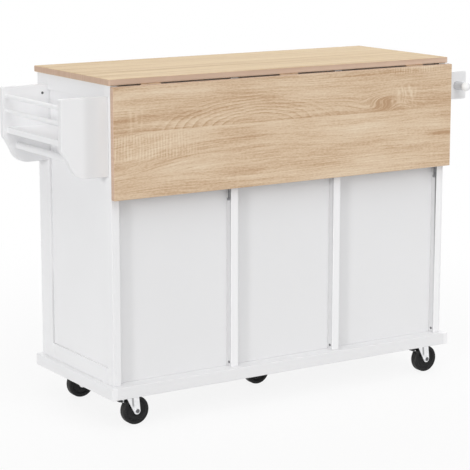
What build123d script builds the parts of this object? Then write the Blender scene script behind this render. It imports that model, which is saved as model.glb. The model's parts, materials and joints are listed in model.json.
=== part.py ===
from build123d import *
import os
from math import cos, radians, sin, sqrt

# Rolling kitchen island with a drop leaf, a spice rack on one end and a towel rail on the other.
# Millimetres. +X points to the spice rack end, +Y to the drop leaf side, +Z up from the floor.
# The origin is on the floor, under the middle of the whole island.

# Worktop and drop leaf
total_height = 915.0
worktop_thickness = 16.0
worktop_end_overhang = 5.0
worktop_front_overhang = 8.5
worktop_rear_overhang = 3.5
leaf_width = 286.5
leaf_thickness = 16.0

# Cabinet carcass
cabinet_length = 1070.0
cabinet_depth = 388.0
end_board = 16.0
end_frame = 6.0
end_front_stile = 46.0
end_rear_stile = 32.0
end_rail = 42.0
divider = 22.0
middle_bay = 310.0
back_recess = 22.0
back_panel = 5.0
stretcher_width = 60.0
stretcher_thickness = 16.0

# Base board
base_thickness = 32.0
base_front_overhang = 12.0
base_rear_overhang = 20.0
base_end_overhang = 15.0

# Front: face frame, doors and drawers
face_thickness = 15.0
face_outer_stile = 40.0
face_rail = 40.0
drawer_rail = 18.0
drawer_places = ("bottom", "middle", "top")
front_gap = 2.0
door_stile = 55.0
door_panel = 6.0
knob_radius = 14.0
knob_length = 25.0
knob_stem_radius = 6.0
knob_head = 14.0
knob_round_ratio = 0.45
knob_height_ratio = 0.62
drawer_side = 12.0
drawer_box_height = 150.0
drawer_box_length = 320.0
drawer_bottom = 6.0
drawer_bottom_raise = 6.0
drawer_side_play = 2.0
runner_width = 10.0
runner_height = 15.0
slide_clearance = 0.3

# Shelves inside the side bays
shelf_thickness = 15.0
shelf_height = 380.0
shelf_side_play = 1.0
shelf_front_setback = 20.0
shelf_pin_radius = 2.5
shelf_pin_seat = 8.0
shelf_pin_reach = 8.0
shelf_pin_inset = 40.0

# Spice rack
rack_depth = 132.0
rack_height = 203.0
rack_width = 349.0
rack_drop = 28.0
rack_rear_gap = 12.0
rack_cheek = 18.0
rack_nose_drop = 130.0
rack_turn_out = 106.0
rack_turn_height = 28.0
rack_foot_out = 62.0
rack_cove_sag = 2.0
rack_belly_sag = 7.5
rack_corner = 6.0
rack_shelf_thickness = 15.0
rack_shelf_height = 82.0
rack_shelf_setback = 10.0
guard_rail_radius = 5.5
guard_rail_heights = (140.0, 179.5)
guard_rail_setback = 12.0
lower_rail_radius = 9.0
lower_rail_height = 46.0
lower_rail_setback = 44.0
dowel_seat = 6.0

# Towel rail
bracket_reach = 88.0
bracket_height = 78.0
bracket_thickness = 15.0
bracket_drop = 29.5
bracket_inset = 14.0
bracket_corner = 5.0
towel_rail_radius = 12.0
towel_rail_wall = 1.2
towel_rail_out = 55.0
towel_rail_overhang = 35.0
towel_knob_radius = 13.0

# Leaf hinges
leaf_hinge_length = 58.0
leaf_hinge_inset = 114.0
leaf_hinge_out = 2.0
leaf_hinge_drop = 2.5
leaf_edge_rise = 0.7
leaf_hinge_plate = 22.0
leaf_hinge_metal = 1.5
leaf_knuckle_radius = 2.2

# Door hinges
door_hinge_length = 60.0
door_hinge_inset = 90.0
door_hinge_plate = 12.0
door_hinge_metal = 0.8
door_knuckle_radius = 2.5
knuckle_face_gap = 0.3
hinge_pin_radius = 1.3
pin_clearance = 0.05
knuckle_end_gap = 0.3

# Props that swing out of the recesses to hold the leaf up
prop_show = 32.0
prop_swing = 120.0
prop_width = 8.0
prop_metal = 2.0
prop_rear_inset = 2.5
prop_layer_gap = 0.3
prop_pin_radius = 2.0
prop_head_radius = 3.5
prop_head_height = 1.5
prop_plate_width = 17.0
prop_plate_height = 44.0
prop_plate_metal = 1.5
prop_roller_radius = 4.0
prop_roller_width = 3.0
catch_length = 40.0
catch_width = 22.0
catch_metal = 2.0
catch_gap = 0.3

# Casters
caster_height = 90.0
caster_end_inset = 53.0
caster_side_inset = 42.0
caster_trail = 30.0
wheel_radius = 38.0
wheel_width = 22.0
wheel_hub_radius = 12.0
wheel_rim = 9.0
wheel_dish = 3.5
wheel_tread_round = 4.0
wheel_top_gap = 1.5
axle_radius = 4.0
axle_head_radius = 6.5
axle_head_height = 3.0
caster_plate_side = 60.0
caster_plate_metal = 2.5
race_radius = 21.0
crown_metal = 3.0
crown_front = 15.0
fork_metal = 2.5
fork_side_gap = 1.5
fork_eye_radius = 9.5
leg_front = 1.0
leg_rear = 6.0
kingpin_radius = 4.0
kingpin_head_radius = 6.0
kingpin_head_height = 3.0
swivel_gap = 0.3
brake_pin_radius = 1.5
brake_pin_out = 10.0
brake_pin_drop = 10.0
brake_hub_radius = 3.5
brake_lug_half = 3.2
brake_slot_radius = 6.0
brake_tab_length = 11.0
brake_tab_metal = 3.0
brake_side_gap = 0.5
brake_pad_radius = 2.0
brake_pad_gap = 0.3

# Fasteners
screw_head_radius = 3.5
screw_head_height = 1.2
screw_edge = 16.0
recess_screw_height = 12.0

# Softened edges
board_edge = 0.8
top_edge = 1.2

# Places that follow from the sizes
rack_reach = cabinet_length / 2 + rack_depth
towel_reach = cabinet_length / 2 + bracket_reach
middle_x = (towel_reach - rack_reach) / 2
top_low = total_height - worktop_thickness
base_top = caster_height + base_thickness
carcass_z = (base_top, top_low)
rear_y = cabinet_depth / 2
carcass_front_y = -cabinet_depth / 2
face_y = carcass_front_y - face_thickness
worktop_rear_y = rear_y + worktop_rear_overhang
worktop_front_y = face_y - worktop_front_overhang
rack_end_x = middle_x + cabinet_length / 2
towel_end_x = middle_x - cabinet_length / 2
end_total = end_board + end_frame
inner_right_x = rack_end_x - end_total
inner_left_x = towel_end_x + end_total
middle_high_x = middle_x + middle_bay / 2
middle_low_x = middle_x - middle_bay / 2
back_rear_y = rear_y - back_recess
back_front_y = back_rear_y - back_panel
bays = (
    (inner_left_x, middle_low_x - divider),
    (middle_low_x, middle_high_x),
    (middle_high_x + divider, inner_right_x),
)

# The leaf turns about this line, so its outer face comes level with the worktop when raised.
leaf_axis_y = worktop_rear_y + leaf_hinge_out
leaf_axis_z = top_low - leaf_hinge_drop
leaf_outer_y = leaf_axis_y + total_height - leaf_axis_z
leaf_inner_y = leaf_outer_y - leaf_thickness
leaf_top_z = leaf_axis_z + leaf_edge_rise
leaf_low_z = leaf_top_z - leaf_width

nodes = {}


def add(name, *shapes):
    """Collect the solids of one named piece, or of one group of identical pieces."""
    nodes.setdefault(name, []).extend(solid for shape in shapes for solid in shape.solids())


def block(x, y, z):
    """A plain box between low and high values on each axis."""
    low, high = zip(x, y, z)
    centre = [(a + b) / 2 for a, b in zip(low, high)]
    return Pos(*centre) * Box(*[b - a for a, b in zip(low, high)])


def board(x, y, z, edge=board_edge):
    """A sawn board with softened edges."""
    return chamfer(block(x, y, z).edges(), edge)


def rod(start, direction, length, radius):
    """A round bar that starts at a point and runs along a direction."""
    foot = (Align.CENTER, Align.CENTER, Align.MIN)
    return Plane(origin=start, z_dir=direction) * Cylinder(radius, length, align=foot)


def strap(start, end, thick, width, thickness):
    """A flat bar with round ends between two points; it grows from them along the thick direction."""
    start, end = Vector(*start), Vector(*end)
    run = end - start
    plane = Plane(origin=(start + end) * 0.5, x_dir=run, z_dir=thick)
    return extrude(plane * SlotCenterToCenter(run.length, width), amount=thickness)


def around(centre, half):
    """The low and high values of a span about a centre."""
    return (centre - half, centre + half)


# Worktop, leaf and base board
def make_boards():
    top_x = around(middle_x, cabinet_length / 2 + worktop_end_overhang)
    add("worktop", board(top_x, (worktop_front_y, worktop_rear_y), (top_low, total_height), top_edge))
    add("drop_leaf", board(top_x, (leaf_inner_y, leaf_outer_y), (leaf_low_z, leaf_top_z), top_edge))
    base_x = around(middle_x, cabinet_length / 2 + base_end_overhang)
    base_y = (face_y - base_front_overhang, rear_y + base_rear_overhang)
    add("base_board", board(base_x, base_y, (caster_height, base_top), top_edge))


# Carcass: ends, dividers, back panels and the stretchers that carry the worktop
def end_boards(name, inner_x, outer_x, pin_side):
    """One end: an inner board and the applied frame of stiles and rails outside it."""
    split_x = inner_x + (outer_x - inner_x) * end_board / end_total
    depth = (carcass_front_y, rear_y)
    inner = board(tuple(sorted((inner_x, split_x))), depth, carcass_z)
    add(name + "_end_board", drilled_for_pins(inner, inner_x, pin_side))
    frame_x = tuple(sorted((split_x, outer_x)))
    front_edge = carcass_front_y + end_front_stile
    rear_edge = rear_y - end_rear_stile
    between = (front_edge, rear_edge)
    add(
        name + "_end_frame",
        board(frame_x, (carcass_front_y, front_edge), carcass_z),
        board(frame_x, (rear_edge, rear_y), carcass_z),
        board(frame_x, between, (base_top, base_top + end_rail)),
        board(frame_x, between, (top_low - end_rail, top_low)),
    )


shelf_low_z = base_top + shelf_height
pin_z = shelf_low_z - shelf_pin_radius
shelf_y = (carcass_front_y + shelf_front_setback, back_front_y - shelf_side_play)
pin_y = (shelf_y[0] + shelf_pin_inset, shelf_y[1] - shelf_pin_inset)


def drilled_for_pins(piece, face_x, side):
    """Drill the two blind shelf pin holes into a face; side is the way out of the face along X."""
    for y in pin_y:
        start = (face_x - side * shelf_pin_seat, y, pin_z)
        piece -= rod(start, (side, 0, 0), shelf_pin_seat, shelf_pin_radius + pin_clearance)
    return piece


def make_carcass():
    end_boards("rack", inner_right_x, rack_end_x, -1)
    end_boards("towel", inner_left_x, towel_end_x, 1)
    depth = (carcass_front_y, rear_y)
    right = board((middle_high_x, middle_high_x + divider), depth, carcass_z)
    left = board((middle_low_x - divider, middle_low_x), depth, carcass_z)
    add("rack_side_divider", drilled_for_pins(right, middle_high_x + divider, 1))
    add("towel_side_divider", drilled_for_pins(left, middle_low_x - divider, -1))
    stretcher_z = (top_low - stretcher_thickness, top_low)
    for bay in bays:
        add("back_panels", board(bay, (back_front_y, back_rear_y), carcass_z))
        front = (carcass_front_y, carcass_front_y + stretcher_width)
        rear = (back_front_y - stretcher_width, back_front_y)
        add("top_stretchers", board(bay, front, stretcher_z), board(bay, rear, stretcher_z))


# Shelves on pins in the two side bays
def make_shelves():
    shelf_z = (shelf_low_z, shelf_low_z + shelf_thickness)
    for low, high in (bays[0], bays[2]):
        add("shelves", board((low + shelf_side_play, high - shelf_side_play), shelf_y, shelf_z))
        for face_x, side in ((low, 1), (high, -1)):
            for y in pin_y:
                start = (face_x - side * shelf_pin_seat, y, pin_z)
                length = shelf_pin_seat + shelf_pin_reach
                add("shelf_pins", rod(start, (side, 0, 0), length, shelf_pin_radius))


# Front: a face frame with one opening for each bay, the middle one divided for the drawers
face_span_y = (face_y, carcass_front_y)
opening_z = (base_top + face_rail, top_low - face_rail)
opening_x = (
    (towel_end_x + face_outer_stile, bays[0][1]),
    bays[1],
    (bays[2][0], rack_end_x - face_outer_stile),
)
drawer_pitch = (opening_z[1] - opening_z[0] + drawer_rail) / len(drawer_places)


def drawer_opening(index):
    low = opening_z[0] + index * drawer_pitch
    return (low, low + drawer_pitch - drawer_rail)


def make_face_frame():
    stiles = (
        (towel_end_x, opening_x[0][0]),
        (opening_x[0][1], opening_x[1][0]),
        (opening_x[1][1], opening_x[2][0]),
        (opening_x[2][1], rack_end_x),
    )
    for span in stiles:
        add("face_frame", board(span, face_span_y, carcass_z))
    for span in opening_x:
        add("face_frame", board(span, face_span_y, (base_top, opening_z[0])))
        add("face_frame", board(span, face_span_y, (opening_z[1], top_low)))
    for index in range(1, len(drawer_places)):
        high = drawer_opening(index)[0]
        add("face_frame", board(opening_x[1], face_span_y, (high - drawer_rail, high)))


def hinge_half(centre, along, wide, offset, metal, plate, length, knuckle, spans):
    """One half of a butt hinge: a plate beside the pin line and the knuckles on it.

    along is the pin's direction, wide the way that the plate runs from the pin. The plate's mounting face
    lies at offset from the pin, on the side along x wide. spans are the knuckles' places along the pin.
    """
    clear = knuckle + knuckle_face_gap
    half = block((clear, plate), (offset - metal, offset), around(0, length / 2))
    for low, high in spans:
        half += Pos(0, 0, (low + high) / 2) * Cylinder(knuckle, high - low)
        half += block((0, clear), (offset - metal, offset), (low, high))
    half -= Cylinder(hinge_pin_radius + pin_clearance, length)
    return Plane(origin=centre, x_dir=wide, z_dir=along) * half


def outer_spans(length):
    return ((-length / 2, -length / 6), (length / 6, length / 2))


def inner_span(length):
    return (around(0, length / 6 - knuckle_end_gap),)


# Doors: inset frame and panel doors on butt hinges whose pins stand just in front of the face
door_axis_y = face_y - door_knuckle_radius - knuckle_face_gap
door_z = (opening_z[0] + front_gap, opening_z[1] - front_gap)
door_hinge_z = (door_z[0] + door_hinge_inset, door_z[1] - door_hinge_inset)


def knob(x, z):
    """A turned knob that stands out of a front face."""
    outline = Polyline(
        (0, 0),
        (knob_stem_radius, 0),
        (knob_stem_radius, knob_length - knob_head),
        (knob_radius, knob_length - knob_head),
        (knob_radius, knob_length),
        (0, knob_length),
        close=True,
    )
    section = make_face(outline.edges())
    section = fillet(section.vertices().group_by(Axis.X)[-1], knob_head * knob_round_ratio)
    turned = revolve(section, Axis.Y)
    return Plane(origin=(x, face_y, z), x_dir=(-1, 0, 0), z_dir=(0, 0, 1)) * turned


def make_door(name, span, hinge_x, inward):
    """One door; inward is the way along X from the hinge edge to the middle of the door."""
    x = (span[0] + front_gap, span[1] - front_gap)
    rail_x = (x[0] + door_stile, x[1] - door_stile)
    rail_low = (door_z[0], door_z[0] + door_stile)
    rail_high = (door_z[1] - door_stile, door_z[1])
    panel_y = around(sum(face_span_y) / 2, door_panel / 2)
    add(
        name,
        board((x[0], rail_x[0]), face_span_y, door_z),
        board((rail_x[1], x[1]), face_span_y, door_z),
        board(rail_x, face_span_y, rail_low),
        board(rail_x, face_span_y, rail_high),
        board(rail_x, panel_y, (rail_low[1], rail_high[0])),
    )
    axis_x = hinge_x + inward * front_gap / 2
    reach = face_y - door_axis_y + door_hinge_plate
    for z in door_hinge_z:
        centre = (axis_x, door_axis_y, z)
        shared = (front_gap / 2, door_hinge_metal, reach, door_hinge_length, door_knuckle_radius)
        fixed = hinge_half(centre, (0, 0, inward), (0, 1, 0), *shared, outer_spans(door_hinge_length))
        moving = hinge_half(centre, (0, 0, -inward), (0, 1, 0), *shared, inner_span(door_hinge_length))
        add("door_hinge_frame_halves", fixed)
        add(name + "_hinge_halves", moving)
        foot = (axis_x, door_axis_y, z - door_hinge_length / 2)
        add("door_hinge_pins", rod(foot, (0, 0, 1), door_hinge_length, hinge_pin_radius))
    free_edge = x[1] if inward > 0 else x[0]
    knob_z = door_z[0] + (door_z[1] - door_z[0]) * knob_height_ratio
    add(name + "_knob", knob(free_edge - inward * door_stile / 2, knob_z))


def make_doors():
    make_door("rack_side_door", opening_x[2], opening_x[2][1], -1)
    make_door("towel_side_door", opening_x[0], opening_x[0][0], 1)


# Drawers: a front in the face frame and a box that runs on a rail at each side
def make_drawers():
    low_x, high_x = bays[1]
    box_x = (low_x + drawer_side_play, high_x - drawer_side_play)
    inner_x = (box_x[0] + drawer_side, box_x[1] - drawer_side)
    box_y = (carcass_front_y, carcass_front_y + drawer_box_length)
    back_y = (box_y[1] - drawer_side, box_y[1])
    for index, place in enumerate(drawer_places):
        low, high = drawer_opening(index)
        front_x = (low_x + front_gap, high_x - front_gap)
        front_z = (low + front_gap, high - front_gap)
        add(place + "_drawer_front", board(front_x, face_span_y, front_z, top_edge))
        rail_z = (front_z[0], front_z[0] + runner_height)
        add("drawer_runners", board((low_x, low_x + runner_width), box_y, rail_z))
        add("drawer_runners", board((high_x - runner_width, high_x), box_y, rail_z))
        side_low = rail_z[1] + slide_clearance
        side_z = (side_low, side_low + drawer_box_height)
        bottom_low = side_low + drawer_bottom_raise
        bottom_z = (bottom_low, bottom_low + drawer_bottom)
        add(
            place + "_drawer_box",
            board((box_x[0], inner_x[0]), box_y, side_z),
            board((inner_x[1], box_x[1]), box_y, side_z),
            board(inner_x, back_y, side_z),
            board(inner_x, (box_y[0], back_y[0]), bottom_z),
        )
        add(place + "_drawer_knob", knob(middle_x, sum(front_z) / 2))


# Spice rack: two shaped cheeks, a shelf, two guard rails and a lower rail
rack_top = top_low - rack_drop
rack_low = rack_top - rack_height
rack_rear_y = rear_y - rack_rear_gap
rack_cheeks_y = (
    (rack_rear_y - rack_width, rack_rear_y - rack_width + rack_cheek),
    (rack_rear_y - rack_cheek, rack_rear_y),
)
rack_inside_y = (rack_cheeks_y[0][1], rack_cheeks_y[1][0])
dowel_span = rack_inside_y[1] - rack_inside_y[0] + 2 * dowel_seat
guard_rail_x = rack_end_x + rack_depth - guard_rail_setback
lower_rail_x = rack_end_x + rack_depth - lower_rail_setback
rack_dowels = [("rack_guard_rails", guard_rail_x, z, guard_rail_radius) for z in guard_rail_heights]
rack_dowels.append(("rack_lower_rail", lower_rail_x, lower_rail_height, lower_rail_radius))


def rack_cheek_outline():
    """Square at the top, with a rounded corner, and swept in by a cove and a belly below the nose."""
    inner = rack_end_x
    outer = rack_end_x + rack_depth
    nose = (outer, rack_top - rack_nose_drop)
    turn = (inner + rack_turn_out, rack_low + rack_turn_height)
    foot = (inner + rack_foot_out, rack_low)
    lines = [
        Line((inner, rack_low), (inner, rack_top)),
        Line((inner, rack_top), (outer - rack_corner, rack_top)),
        RadiusArc((outer - rack_corner, rack_top), (outer, rack_top - rack_corner), rack_corner),
        Line((outer, rack_top - rack_corner), nose),
        SagittaArc(nose, turn, -rack_cove_sag),
        SagittaArc(turn, foot, rack_belly_sag),
        Line(foot, (inner, rack_low)),
    ]
    return make_face([edge for line in lines for edge in line.edges()])


def rack_dowel(x, height, radius):
    """A dowel between the cheeks, let into both of them."""
    return rod((x, rack_inside_y[0] - dowel_seat, rack_low + height), (0, 1, 0), dowel_span, radius)


def make_rack():
    for low, high in rack_cheeks_y:
        plane = Plane(origin=(0, high, 0), x_dir=(1, 0, 0), z_dir=(0, -1, 0))
        cheek = extrude(plane * rack_cheek_outline(), amount=high - low)
        faces = cheek.faces().filter_by(Axis.Y)
        cheek = chamfer([edge for face in faces for edge in face.outer_wire().edges()], board_edge)
        for name, x, height, radius in rack_dowels:
            cheek -= rack_dowel(x, height, radius + pin_clearance)
        add("rack_cheeks", cheek)
    for name, x, height, radius in rack_dowels:
        add(name, rack_dowel(x, height, radius))
    shelf_x = (rack_end_x, rack_end_x + rack_depth - rack_shelf_setback)
    shelf_z = around(rack_low + rack_shelf_height + rack_shelf_thickness / 2, rack_shelf_thickness / 2)
    add("rack_shelf", board(shelf_x, rack_inside_y, shelf_z))


# Towel rail: a tube through two brackets, with a ball at each end
towel_x = towel_end_x - towel_rail_out
bracket_high = top_low - bracket_drop
towel_z = bracket_high - bracket_height / 2
bracket_outer_y = rear_y - bracket_inset
rail_end_y = bracket_outer_y + towel_rail_overhang
# The balls are cut flat where their section matches the tube's end.
towel_ball_y = rail_end_y + sqrt(towel_knob_radius**2 - towel_rail_radius**2)


def make_towel_rail():
    x = (towel_end_x - bracket_reach, towel_end_x)
    z = (bracket_high - bracket_height, bracket_high)
    for side in (-1, 1):
        y = tuple(sorted((side * bracket_outer_y, side * (bracket_outer_y - bracket_thickness))))
        bracket = block(x, y, z)
        corners = bracket.edges().filter_by(Axis.Y).group_by(Axis.X)[0]
        bracket = fillet(corners, bracket_corner)
        bracket = chamfer(bracket.faces().filter_by(Axis.Y).edges(), board_edge)
        start = (towel_x, y[0], towel_z)
        hole = rod(start, (0, 1, 0), bracket_thickness, towel_rail_radius + pin_clearance)
        add("towel_brackets", bracket - hole)
        ball = Pos(towel_x, side * towel_ball_y, towel_z) * Sphere(towel_knob_radius)
        outside = tuple(sorted((side * rail_end_y, side * (rail_end_y + 2 * towel_knob_radius))))
        reach = 2 * towel_knob_radius
        add("towel_rail_knobs", ball & block(around(towel_x, reach), outside, around(towel_z, reach)))
    rail_end = (towel_x, -rail_end_y, towel_z)
    tube = rod(rail_end, (0, 1, 0), 2 * rail_end_y, towel_rail_radius)
    bore = rod(rail_end, (0, 1, 0), 2 * rail_end_y, towel_rail_radius - towel_rail_wall)
    add("towel_rail", tube - bore)


# Leaf hinges: one plate under the worktop and one on the leaf's inner face
def make_leaf_hinges():
    shared = (leaf_hinge_drop, leaf_hinge_metal, leaf_hinge_plate, leaf_hinge_length, leaf_knuckle_radius)
    spread = cabinet_length / 2 - leaf_hinge_inset
    for offset in (-spread, 0, spread):
        centre = (middle_x + offset, leaf_axis_y, leaf_axis_z)
        fixed = hinge_half(centre, (-1, 0, 0), (0, -1, 0), *shared, outer_spans(leaf_hinge_length))
        moving = hinge_half(centre, (1, 0, 0), (0, 0, -1), *shared, inner_span(leaf_hinge_length))
        add("leaf_hinge_top_halves", fixed)
        add("leaf_hinge_leaf_halves", moving)
        foot = (centre[0] - leaf_hinge_length / 2, leaf_axis_y, leaf_axis_z)
        add("leaf_hinge_pins", rod(foot, (1, 0, 0), leaf_hinge_length, hinge_pin_radius))


# Props: an arm hangs behind the leaf at the side of each end bay, and swings up to meet a catch on the leaf
prop_rear_y = rear_y - prop_rear_inset
prop_y = prop_rear_y - prop_width / 2
prop_low_z = leaf_low_z - prop_show
prop_raised_z = total_height - leaf_thickness - catch_metal - catch_gap - prop_roller_radius
prop_length = (prop_raised_z - prop_low_z) / (1 - cos(radians(prop_swing)))
prop_z = prop_low_z + prop_length
catch_z = leaf_axis_z - (prop_y + prop_length * sin(radians(prop_swing)) - leaf_axis_y)
recess_faces = [bay[0] for bay in bays]
prop_faces = (recess_faces[0], recess_faces[-1])


def make_props():
    plate_y = (prop_rear_y - prop_plate_width, prop_rear_y)
    for face_x in prop_faces:
        arm_x = face_x + prop_plate_metal + prop_layer_gap
        head_x = arm_x + prop_metal + prop_layer_gap
        plate = block((face_x, face_x + prop_plate_metal), plate_y, around(prop_z, prop_plate_height / 2))
        plate += rod((face_x, prop_y, prop_z), (1, 0, 0), head_x - face_x, prop_pin_radius)
        plate += rod((head_x, prop_y, prop_z), (1, 0, 0), prop_head_height, prop_head_radius)
        add("prop_wall_plates", plate)

        arm = strap((arm_x, prop_y, prop_z), (arm_x, prop_y, prop_low_z), (1, 0, 0), prop_width, prop_metal)
        arm -= rod((arm_x, prop_y, prop_z), (1, 0, 0), prop_metal, prop_pin_radius + pin_clearance)
        roller_foot = (arm_x + prop_metal, prop_y, prop_low_z)
        arm += rod(roller_foot, (1, 0, 0), prop_roller_width, prop_roller_radius)
        add("prop_arms", arm)

        catch_y = (leaf_inner_y - catch_metal, leaf_inner_y)
        add("prop_catches", block((arm_x, arm_x + catch_width), catch_y, around(catch_z, catch_length / 2)))


# Casters: a plate under the base board, a swivelling fork and a wheel that trails towards -X.
# The two at the back have brakes.
caster_spread_x = cabinet_length / 2 - caster_end_inset
caster_spread_y = cabinet_depth / 2 - caster_side_inset
caster_places = {
    "rear_rack": (caster_spread_x, caster_spread_y),
    "rear_towel": (-caster_spread_x, caster_spread_y),
    "front_rack": (caster_spread_x, -caster_spread_y),
    "front_towel": (-caster_spread_x, -caster_spread_y),
    "centre": (0.0, 0.0),
}
braked = ("rear_rack", "rear_towel")
crown_high = 2 * wheel_radius + wheel_top_gap + crown_metal
race_low = crown_high + swivel_gap
fork_inner = wheel_width / 2 + fork_side_gap
fork_outer = fork_inner + fork_metal
brake_z = crown_high - crown_metal - brake_pin_drop


def brake_pad_place():
    """The pad's place from the brake pin. With the lever down the brake is on and the pad meets the tread."""
    to_wheel = Vector(-caster_trail - brake_pin_out, 0, wheel_radius - brake_z)
    reach = to_wheel.length - wheel_radius - brake_pad_radius - brake_pad_gap
    return to_wheel.normalized() * reach


def wheel_section():
    """Half of a wheel's section: hub, thin web and rim with a rounded tread."""
    half = wheel_width / 2
    inner_rim = wheel_radius - wheel_rim
    web = half - wheel_dish
    bore = axle_radius + pin_clearance
    side = [
        (bore, half),
        (wheel_hub_radius, half),
        (wheel_hub_radius + wheel_dish, web),
        (inner_rim - wheel_dish, web),
        (inner_rim, half),
        (wheel_radius, half),
    ]
    outline = side + [(r, -w) for r, w in reversed(side)]
    section = make_face(Polyline(*outline, close=True).edges())
    tread = section.vertices().group_by(Axis.X)[-1]
    return fillet(tread, wheel_tread_round)


def fork_leg(x, y_low):
    """A flat leg that tapers from the crown down to the axle eye."""
    trail_x = x - caster_trail
    top = crown_high - crown_metal
    eye = Pos(trail_x, wheel_radius) * Circle(fork_eye_radius)
    brow = Line((trail_x - leg_rear, top), (x + leg_front, top))
    outline = make_hull(eye.edges() + brow.edges())
    plane = Plane(origin=(0, y_low + fork_metal, 0), x_dir=(1, 0, 0), z_dir=(0, -1, 0))
    leg = extrude(plane * outline, amount=fork_metal)
    return leg - rod((trail_x, y_low, wheel_radius), (0, 1, 0), fork_metal, axle_radius)


def add_brake(place, x, y, crown_low):
    """A lug under the crown carries the pin, and the lever straddles the lug."""
    width = fork_inner - brake_side_gap
    pin_end = Vector(x, y - width, brake_z)
    pin = rod(pin_end, (0, 1, 0), 2 * width, brake_pin_radius)
    lug_z = (brake_z - brake_lug_half, crown_low)
    lug = block(around(x, brake_lug_half), around(y, brake_lug_half), lug_z)
    add(place + "_fork", pin, lug - pin)

    lever = rod(pin_end, (0, 1, 0), 2 * width, brake_hub_radius)
    tab_high = brake_z + brake_hub_radius
    tab_x = (x, x + brake_tab_length)
    lever += block(tab_x, around(y, width), (tab_high - brake_tab_metal, tab_high))
    lever += strap(pin_end, pin_end + brake_pad_place(), (0, 1, 0), 2 * brake_pad_radius, 2 * width)
    lever -= rod(pin_end, (0, 1, 0), 2 * width, brake_pin_radius + pin_clearance)
    slot_half = brake_lug_half + brake_side_gap
    lever -= rod((x, y - slot_half, brake_z), (0, 1, 0), 2 * slot_half, brake_slot_radius)
    add(place + "_brake_lever", lever)


def make_caster(place, x, y):
    plate_low = caster_height - caster_plate_metal
    half = caster_plate_side / 2
    plate = board(around(x, half), around(y, half), (plate_low, caster_height))
    plate += rod((x, y, race_low), (0, 0, 1), plate_low - race_low, race_radius)
    head_high = crown_high - crown_metal - swivel_gap
    plate += rod((x, y, head_high), (0, 0, 1), race_low - head_high, kingpin_radius)
    plate += rod((x, y, head_high), (0, 0, -1), kingpin_head_height, kingpin_head_radius)
    add("caster_plates", plate)

    trail_x = x - caster_trail
    crown_low = crown_high - crown_metal
    crown = block((trail_x - leg_rear, x + crown_front), around(y, fork_outer), (crown_low, crown_high))
    crown -= rod((x, y, crown_low), (0, 0, 1), crown_metal, kingpin_radius + pin_clearance)
    axle = rod((trail_x, y - fork_outer, wheel_radius), (0, 1, 0), 2 * fork_outer, axle_radius)
    for side in (-1, 1):
        head = (trail_x, y + side * fork_outer, wheel_radius)
        axle += rod(head, (0, side, 0), axle_head_height, axle_head_radius)
    legs = [fork_leg(x, y - fork_outer), fork_leg(x, y + fork_inner)]
    if place in braked:
        add_brake(place, x + brake_pin_out, y, crown_low)
    add(place + "_fork", crown, *legs, axle)
    add(place + "_wheel", Pos(trail_x, y, wheel_radius) * revolve(wheel_section(), Axis.Y))


def make_casters():
    for place, (dx, dy) in caster_places.items():
        make_caster(place, middle_x + dx, dy)


# Screw heads that show: on the rack cheeks, and low in each recess at the back
def make_screws():
    for z in (rack_top - screw_edge - rack_corner, rack_low + screw_edge):
        for y, side in ((rack_inside_y[0], 1), (rack_inside_y[1], -1)):
            start = (rack_end_x + screw_edge, y, z)
            add("screw_heads", rod(start, (0, side, 0), screw_head_height, screw_head_radius))
    for face_x in recess_faces:
        start = (face_x, rear_y - back_recess / 2, base_top + recess_screw_height)
        add("screw_heads", rod(start, (1, 0, 0), screw_head_height, screw_head_radius))


make_boards()
make_carcass()
make_shelves()
make_face_frame()
make_doors()
make_drawers()
make_rack()
make_towel_rail()
make_leaf_hinges()
make_props()
make_casters()
make_screws()

os.makedirs("parts", exist_ok=True)
for name, solids in nodes.items():
    export_step(Compound(solids) if len(solids) > 1 else solids[0], f"parts/{name}.step")
print(len(nodes), "pieces written")
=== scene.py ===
# %% [markdown]
# # A rolling kitchen island, dressed for its picture
# The CAD model of the island is loaded as a fixed frame, so every board, hinge and wheel is already in
# its place, in metres, with +Z up. Here each piece gets its finish, the small fasteners are added, and
# the studio is set up. The box of the CAD model is kept, and printed at the end beside the box of
# the dressed island.

# %% Load the frame
import json
from math import cos, pi, radians, sin

import bmesh
import bpy
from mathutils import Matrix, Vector


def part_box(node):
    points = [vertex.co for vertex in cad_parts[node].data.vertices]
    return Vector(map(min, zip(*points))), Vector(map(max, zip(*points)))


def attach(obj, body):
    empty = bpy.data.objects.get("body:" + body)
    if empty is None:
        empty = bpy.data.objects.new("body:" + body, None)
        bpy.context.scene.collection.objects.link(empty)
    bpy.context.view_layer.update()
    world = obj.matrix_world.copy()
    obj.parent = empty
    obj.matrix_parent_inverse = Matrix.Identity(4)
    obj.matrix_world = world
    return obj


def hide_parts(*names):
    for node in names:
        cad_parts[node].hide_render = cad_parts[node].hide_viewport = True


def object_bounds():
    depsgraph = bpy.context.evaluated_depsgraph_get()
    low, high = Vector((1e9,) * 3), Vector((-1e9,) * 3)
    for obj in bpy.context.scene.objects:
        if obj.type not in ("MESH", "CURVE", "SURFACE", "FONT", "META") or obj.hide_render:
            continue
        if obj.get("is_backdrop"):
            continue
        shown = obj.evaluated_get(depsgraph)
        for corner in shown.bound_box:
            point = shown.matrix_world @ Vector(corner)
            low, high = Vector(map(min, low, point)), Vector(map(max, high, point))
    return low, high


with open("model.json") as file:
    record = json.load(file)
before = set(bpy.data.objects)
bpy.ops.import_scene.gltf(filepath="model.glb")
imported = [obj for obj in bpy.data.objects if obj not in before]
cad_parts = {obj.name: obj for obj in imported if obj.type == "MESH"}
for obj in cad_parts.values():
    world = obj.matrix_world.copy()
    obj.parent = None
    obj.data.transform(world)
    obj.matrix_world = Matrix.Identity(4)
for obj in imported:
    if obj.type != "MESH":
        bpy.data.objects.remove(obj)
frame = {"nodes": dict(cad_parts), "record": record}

cad_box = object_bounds()
nodes = frame["nodes"]
print("pieces in the frame:", len(nodes))
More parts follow.
